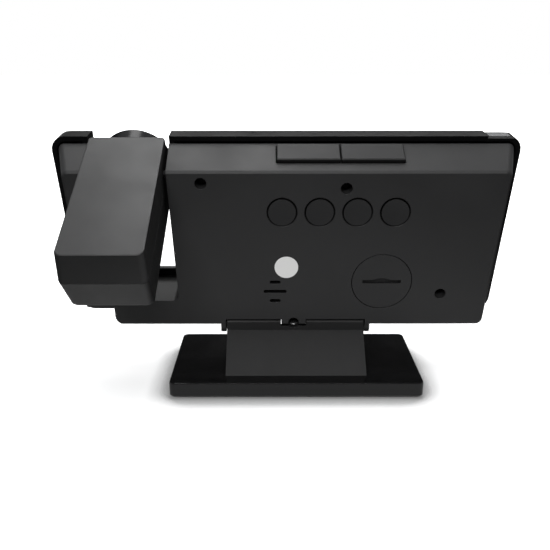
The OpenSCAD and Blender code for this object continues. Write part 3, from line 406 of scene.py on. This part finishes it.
FINISHES: tuple[Finish, ...] = (
    Finish(Slot.MATTE_BLACK, (0.009, 0.009, 0.0093), roughness=(0.4, 0.54), specular=0.58, grain_scale=4200.0,
           grain_depth=0.00003, dust=0.03, edge=0.0003),
    Finish(Slot.GLOSS_BLACK, (0.003, 0.003, 0.0033), roughness=(0.08, 0.16), grain_scale=900.0,
           grain_depth=0.000001, dust=0.03, scratch=0.07, edge=0.00025),
    Finish(Slot.KEY_BLACK, (0.019, 0.019, 0.0195), roughness=(0.42, 0.5), specular=0.26, grain_scale=6500.0,
           grain_depth=0.000009, dust=0.03, edge=0.0002),
    Finish(Slot.RUBBER, (0.012, 0.012, 0.012), roughness=(0.75, 0.9), grain_scale=3000.0,
           grain_depth=0.00003, dust=0.08),
    Finish(Slot.MIRROR, (0.3, 0.305, 0.32), roughness=(0.03, 0.07), grain_scale=400.0, grain_depth=0.0,
           metallic=0.9, dust=0.02, scratch=0.04),
    Finish(Slot.WHITE, (0.85, 0.85, 0.84), roughness=(0.5, 0.62), grain_scale=3600.0, grain_depth=0.000008,
           edge=0.00005, recess_shade_strength=0.1),
    Finish(Slot.BOARD, (0.01, 0.06, 0.025), dust_color=(0.3, 0.3, 0.28), roughness=(0.25, 0.4),
           grain_scale=1800.0, grain_depth=0.00002),
    Finish(Slot.WINDOW, (0.86, 0.87, 0.88), roughness=(0.1, 0.2), transmission=0.7, dust=0.02,
           grain_depth=0.000002),
    Finish(Slot.STEEL, (0.58, 0.58, 0.6), roughness=(0.24, 0.38), grain_scale=2600.0,
           grain_depth=0.000006, metallic=1.0, scratch=0.15, edge=0.00008),
    Finish(Slot.STEEL, (0.035, 0.035, 0.037), roughness=(0.4, 0.55), grain_scale=2600.0, grain_depth=0.000006,
           metallic=0.9, scratch=0.1, edge=0.00008,
           nodes=("rear_screws", "neck_screws", "hinge_pins", "pivot_pins", "arm_screws")),
    # Front bezel: its strong dust also paints light on the rim's top.
    Finish(Slot.GLOSS_BLACK, (0.003, 0.003, 0.0033), roughness=(0.24, 0.32), specular=0.26, grain_scale=900.0,
           grain_depth=0.000002, dust=0.14, scratch=0.05, edge=0.0003, nodes=("front_bezel",)),
    Finish(Slot.GLOSS_BLACK, (0.003, 0.003, 0.0033), roughness=(0.2, 0.26), specular=0.2, grain_scale=900.0,
           grain_depth=0.000001, dust=0.02, scratch=0.05, edge=0.0003, nodes=("focus_ring",)),
    # Rear housing and battery cover: a lighter copy of the arm's matte black, painted light standing in for the light
    # on the case's back face.
    Finish(Slot.MATTE_BLACK, (0.023, 0.023, 0.0235), roughness=(0.4, 0.54), specular=0.33, grain_scale=4200.0,
           grain_depth=0.00003, dust=0.03, edge=0.0003, nodes=("rear_housing", "battery_cover")),
    Finish(Slot.MATTE_BLACK, (0.011, 0.011, 0.0113), roughness=(0.44, 0.54), specular=0.26, grain_scale=3600.0,
           grain_depth=0.00002, dust=0.03, edge=0.0003, nodes=("stand_neck",)),
    Finish(Slot.GLASS, (0.92, 0.95, 0.97), roughness=(0.0, 0.02), transmission=1.0, ior=1.49,
           grain_depth=0.0, dust=0.0, coat=0.3, edge=0.00003, recess_shade_strength=0.0),
    Finish(Slot.FILM, (0.01, 0.02, 0.08), roughness=(0.1, 0.2), grain_depth=0.0, edge=0.00003),
)


class Finishes:
    """All materials by slot."""

    def __init__(self) -> None:
        """Builds the shared masks and every finish."""
        masks = SurfaceGroup()
        self.built = {finish.key: finish.build(masks) for finish in FINISHES}
        self.kept = {node: finish.key for finish in FINISHES for node in finish.nodes}

    def of(self, node: str, slot: str) -> bpy.types.Material:
        """Finds the material of a node or piece.

        Args:
            node: Its name.
            slot: Its slot in the record.

        Returns:
            The material kept for it, or else the slot's own.
        """
        return self.built[self.kept.get(node, slot)]

    def dress_nodes(self) -> None:
        """Gives every CAD node the material of its record slot."""
        slots = {part["node"]: part["material_slot"] for part in frame["record"]["subparts"]}
        for name, obj in frame["nodes"].items():
            material = self.of(name, slots[name])
            if not obj.material_slots:
                obj.data.materials.append(material)
            for place in obj.material_slots:
                place.material = material


def link_object(name: str, data: bpy.types.ID) -> bpy.types.Object:
    """Makes an object of a mesh, a light or a camera and links it to the scene."""
    obj = bpy.data.objects.new(name, data)
    bpy.context.scene.collection.objects.link(obj)
    return obj


@dataclass(frozen=True)
class SmoothShell:
    """A CAD node's own form with its facets merged and its curves shaded smooth.

    Attributes:
        node: The CAD node.
        body: The body that it rides on.
        slot: Its finish.
        sharp_angle: Edges steeper than this stay sharp.
    """

    node: str
    body: str
    slot: Slot
    sharp_angle: float = math.radians(34)

    def build(self, finishes: Finishes) -> bpy.types.Object:
        """Builds the piece and hides the node that it stands for.

        Args:
            finishes: All materials.

        Returns:
            The new object.
        """
        mesh = frame["nodes"][self.node].data.copy()
        mesh.name = f"{self.node}_skin"
        work = bmesh.new()
        work.from_mesh(mesh)
        bmesh.ops.remove_doubles(work, verts=work.verts, dist=WELD)
        bmesh.ops.dissolve_limit(work, angle_limit=FLAT, verts=work.verts, edges=work.edges)
        work.to_mesh(mesh)
        work.free()
        if "custom_normal" in mesh.attributes:
            mesh.attributes.remove(mesh.attributes["custom_normal"])
        mesh.shade_smooth()
        mesh.set_sharp_from_angle(angle=self.sharp_angle)
        obj = link_object(f"{self.node}_skin", mesh)
        flatten = obj.modifiers.new("flat_faces_stay_flat", "WEIGHTED_NORMAL")
        flatten.weight = 100
        flatten.keep_sharp = True
        obj.data.materials.clear()
        obj.data.materials.append(finishes.of(self.node, self.slot.value))
        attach(obj, self.body)
        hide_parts(self.node)
        LOG.info("shell %s: %d faces", self.node, len(mesh.polygons))
        return obj


@dataclass(frozen=True)
class RoundLabel:
    """Plain paper label on the back face.

    Attributes:
        diameter: Its diameter.
        thickness: Its thickness.
        taper: How much smaller the radius is at one face.
        x: Place towards the arm.
        height: Place up the back face.
    """

    diameter: float = 10.1 * MM
    thickness: float = 0.08 * MM
    taper: float = 0.02 * MM
    x: float = 4.2 * MM
    height: float = 28.5 * MM

    def build(self, finishes: Finishes) -> bpy.types.Object:
        """Builds the disc flat on the back face.

        Args:
            finishes: All materials.

        Returns:
            The new object.
        """
        work = bmesh.new()
        bmesh.ops.create_cone(work, cap_ends=True, segments=96, radius1=self.diameter / 2,
                              radius2=self.diameter / 2 - self.taper, depth=self.thickness)
        mesh = bpy.data.meshes.new("round_label")
        turn = Matrix.Rotation(-CASE_LEAN - math.pi / 2, 4, "X")
        centre = case_point(self.x, -self.thickness / 2, self.height)
        work.transform(Matrix.Translation(centre) @ turn)
        work.to_mesh(mesh)
        work.free()
        obj = link_object("round_label", mesh)
        obj.data.materials.append(finishes.of("round_label", Slot.WHITE.value))
        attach(obj, "case")
        LOG.info("label at %s", tuple(round(v, 4) for v in centre))
        return obj


@dataclass(frozen=True)
class SoftBox:
    """A large area light.

    Attributes:
        name: Its name.
        place: Where it stands.
        aim: Where it points.
        size: Width and height.
        power: Watts.
    """

    name: str
    place: tuple[float, float, float]
    aim: tuple[float, float, float]
    size: tuple[float, float]
    power: float

    def build(self) -> bpy.types.Object:
        """Builds the light and returns it."""
        data = bpy.data.lights.new(self.name, "AREA")
        data.shape = "RECTANGLE"
        data.size, data.size_y = self.size
        data.energy = self.power
        obj = link_object(self.name, data)
        obj.location = self.place
        toward = Vector(self.aim) - Vector(self.place)
        obj.rotation_euler = toward.to_track_quat("-Z", "Y").to_euler()
        LOG.info("light %s", self.name)
        return obj


@dataclass(frozen=True)
class Studio:
    """White table, soft lights and the dim room around them.

    Attributes:
        floor_size: Side of the floor.
        contact: Distance within which a painted contact shadow darkens the table around the object's foot.
        table_edge: Radius at which the table starts to fade into the dim room, for light and reflections.
        room_edge: Radius at which it has faded.
        high_key: Colour of the table for the camera. It is above white, so that only deep shadows show.
        far_glow: Radii over which the floor turns to plain white for the camera.
        ceiling: Span of the surroundings' brightness over the upward share of the direction.
        walls: The same over its sideways share.
        horizon: The same over its upward share, low down.
        display_end: Share of the horizon's light over the direction away from the display side.
        lights: The soft boxes.
    """

    floor_size: float = 8.0
    contact: float = 12 * MM
    table_edge: float = 0.1
    room_edge: float = 0.18
    high_key: float = 1.6
    far_glow: tuple[float, float] = (0.12, 0.7)
    ceiling: tuple[float, float, float, float] = (0.5, 0.8, 0.0, 0.65)
    walls: tuple[float, float, float, float] = (0.6, 0.95, 0.02, 0.35)
    horizon: tuple[float, float, float, float] = (0.1, 0.32, 0.4, 0.0)
    display_end: tuple[float, float, float, float] = (-0.3, 0.2, 1.0, 0.0)
    lights: tuple[SoftBox, ...] = (
        SoftBox("overhead", (0.06, -0.18, 0.95), (0.0, 0.0, 0.08), (0.28, 0.8), 3.5),
        SoftBox("camera_side", (0.15, 1.3, 0.95), (0.0, 0.0, 0.06), (0.9, 0.4), 17.0),
        SoftBox("display_side", (-0.1, -1.15, 1.15), (0.0, 0.0, 0.06), (1.1, 0.35), 3.0),
    )

    def _floor_material(self) -> bpy.types.Material:
        """Builds the floor's material.

        Camera and transmission rays see white with the real shadow, and a painted contact shadow from occlusion near
        the object's foot. Light sees a small pale table, and glossy rays a tenth of that table's white.

        Returns:
            The new material.
        """
        material = bpy.data.materials.new("sweep")
        material.use_nodes = True
        graph = Graph(material.node_tree)
        material.node_tree.nodes.clear()
        leave = graph.node("ShaderNodeOutputMaterial")
        rays = graph.node("ShaderNodeLightPath").outputs
        distance = graph.node("ShaderNodeVectorMath", operation="LENGTH")
        graph.link(graph.node("ShaderNodeTexCoord").outputs["Object"], distance.inputs[0])
        radius = distance.outputs["Value"]
        table = graph.span(radius, self.table_edge, self.room_edge, 1.0, 0.0)
        seen = graph.math("MAXIMUM", rays["Is Camera Ray"], rays["Is Transmission Ray"])
        # Painted shadow: occlusion near the object's foot darkens the table's colour for the camera.
        contact_occlusion = graph.node("ShaderNodeAmbientOcclusion", samples=8)
        contact_occlusion.inputs["Distance"].default_value = self.contact
        painted_contact_shadow = graph.span(contact_occlusion.outputs["AO"], 0.58, 1.0, 0.01, 1.0)
        high_key = graph.math("MULTIPLY", graph.math("MULTIPLY", seen, self.high_key), painted_contact_shadow)
        diffuse = graph.node("ShaderNodeBsdfDiffuse")
        graph.link(graph.math("MAXIMUM", high_key, graph.span(table, 0.0, 1.0, 0.02, 0.5)), diffuse.inputs["Color"])
        far_white = graph.math("MULTIPLY", seen, graph.span(radius, *self.far_glow, 0.0, 1.0))
        gloss_white = graph.math("MULTIPLY", graph.math("MULTIPLY", rays["Is Glossy Ray"], table), 0.1)
        glow = graph.node("ShaderNodeEmission")
        graph.link(graph.math("MAXIMUM", far_white, gloss_white), glow.inputs["Strength"])
        both = graph.node("ShaderNodeAddShader")
        graph.link(diffuse.outputs[0], both.inputs[0])
        graph.link(glow.outputs[0], both.inputs[1])
        graph.link(both.outputs[0], leave.inputs["Surface"])
        return material

    def _world(self) -> None:
        """White behind everything for camera and transmission rays, and a dim room for all others.

        The room has a bright ceiling, pale walls and a pale horizon on the display side. Glossy rays see the room too.
        """
        world = bpy.data.worlds.new("surroundings")
        bpy.context.scene.world = world
        world.use_nodes = True
        graph = Graph(world.node_tree)
        world.node_tree.nodes.clear()
        leave = graph.node("ShaderNodeOutputWorld")
        rays = graph.node("ShaderNodeLightPath").outputs
        parts = graph.node("ShaderNodeSeparateXYZ")
        graph.link(graph.node("ShaderNodeTexCoord").outputs["Generated"], parts.inputs[0])
        ceiling = graph.span(parts.outputs["Z"], *self.ceiling)
        walls = graph.span(graph.math("ABSOLUTE", parts.outputs["X"], 0.0), *self.walls)
        horizon = graph.math("MULTIPLY", graph.span(parts.outputs["Z"], *self.horizon),
                             graph.span(parts.outputs["Y"], *self.display_end))
        room = graph.math("MAXIMUM", graph.math("MAXIMUM", ceiling, walls), horizon)
        around = graph.node("ShaderNodeBackground")
        around.inputs["Color"].default_value = (0.98, 0.99, 1.0, 1.0)
        graph.link(room, around.inputs["Strength"])
        behind = graph.node("ShaderNodeBackground")
        behind.inputs["Color"].default_value = (1.0, 1.0, 1.0, 1.0)
        behind.inputs["Strength"].default_value = 1.0
        mix = graph.node("ShaderNodeMixShader")
        graph.link(graph.math("MAXIMUM", rays["Is Camera Ray"], rays["Is Transmission Ray"]), mix.inputs[0])
        graph.link(around.outputs[0], mix.inputs[1])
        graph.link(behind.outputs[0], mix.inputs[2])
        graph.link(mix.outputs[0], leave.inputs["Surface"])

    def build(self) -> None:
        """Builds the floor, the surroundings and the lights."""
        work = bmesh.new()
        bmesh.ops.create_grid(work, x_segments=1, y_segments=1, size=self.floor_size / 2)
        mesh = bpy.data.meshes.new("floor")
        work.to_mesh(mesh)
        work.free()
        floor = link_object("floor", mesh)
        floor.data.materials.append(self._floor_material())
        self._world()
        for light in self.lights:
            light.build()
        LOG.info("studio with %d lights", len(self.lights))


@dataclass(frozen=True)
class Camera:
    """The photograph's camera.

    Attributes:
        place: Where it stands.
        pitch: Tilt down, in degrees.
        yaw: Turn from straight ahead, in degrees.
        lens: Focal length in millimetres on the sensor.
        sensor: Sensor width in millimetres.
    """

    place: tuple[float, float, float] = (9.73 * MM, 281.3 * MM, 140.39 * MM)
    pitch: float = 18.37
    yaw: float = 0.14
    lens: float = 43.98
    sensor: float = 36.0

    def build(self) -> bpy.types.Object:
        """Builds the camera and makes it the scene's.

        Returns:
            The camera.
        """
        data = bpy.data.cameras.new("camera")
        data.lens = self.lens
        data.sensor_width = self.sensor
        data.clip_start = 0.01
        obj = link_object("camera", data)
        obj.location = self.place
        obj.rotation_euler = (math.radians(90 - self.pitch), 0.0, math.radians(180 - self.yaw))
        bpy.context.scene.camera = obj
        return obj


SHELLS: tuple[SmoothShell, ...] = (
    SmoothShell("rear_housing", "case", Slot.MATTE_BLACK),
    SmoothShell("front_bezel", "case", Slot.GLOSS_BLACK),
    SmoothShell("battery_cover", "hatch", Slot.MATTE_BLACK),
    SmoothShell("arm_back_shell", "arm", Slot.MATTE_BLACK),
    SmoothShell("arm_front_shell", "arm", Slot.MATTE_BLACK),
    SmoothShell("focus_ring", "ring", Slot.GLOSS_BLACK),
    SmoothShell("base_plate", "stand", Slot.GLOSS_BLACK),
    SmoothShell("stand_neck", "stand", Slot.MATTE_BLACK),
    *(SmoothShell(f"{name}_key", f"{name}_button", Slot.KEY_BLACK)
      for name in ("mode", "up", "down", "alarm", "projection", "snooze")),
)


def main() -> None:
    """Builds every part of the scene in order."""
    logging.basicConfig(level=logging.INFO, format="%(message)s")
    finishes = Finishes()
    finishes.dress_nodes()
    for shell in SHELLS:
        shell.build(finishes)
    RoundLabel().build(finishes)
    Studio().build()
    Camera().build()
    bpy.context.scene.view_settings.view_transform = "Standard"


if __name__ == "__main__":
    main()
